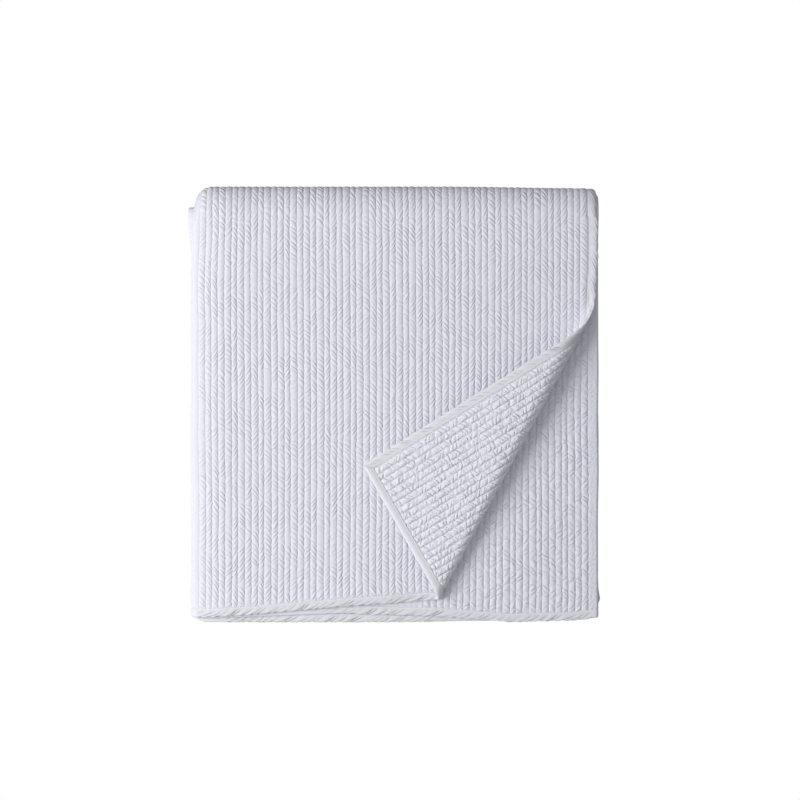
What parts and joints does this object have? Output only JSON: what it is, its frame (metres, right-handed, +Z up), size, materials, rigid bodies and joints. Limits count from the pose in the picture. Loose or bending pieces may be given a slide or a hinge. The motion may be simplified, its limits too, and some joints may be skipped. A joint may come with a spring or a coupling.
{
  "type": "folded coverlet",
  "caption": "Channel-quilted cotton coverlet folded into a flat pile, its edges bound, with a corner of the top leaf turned back to show the reverse.",
  "frame": {"origin": "middle of the footprint, on the surface that the pile rests on", "axes": "+Z up, +Y from the open hem side to the folded end, +X to the right as seen from above with the hems nearest"},
  "size_m": [0.5584, 0.593, 0.0888],
  "materials": {
    "quilted_cloth": "matte washed cotton, stitched in narrow puckered channels",
    "binding": "matte plain cotton strip with soft diagonal drag lines"
  },
  "bodies": {
    "root": {"quilted_cloth": "quilted_cloth", "binding_front_hem": "binding", "binding_right_side": "binding", "binding_back_hem": "binding", "binding_left_side": "binding"}
  },
  "joints": []
}
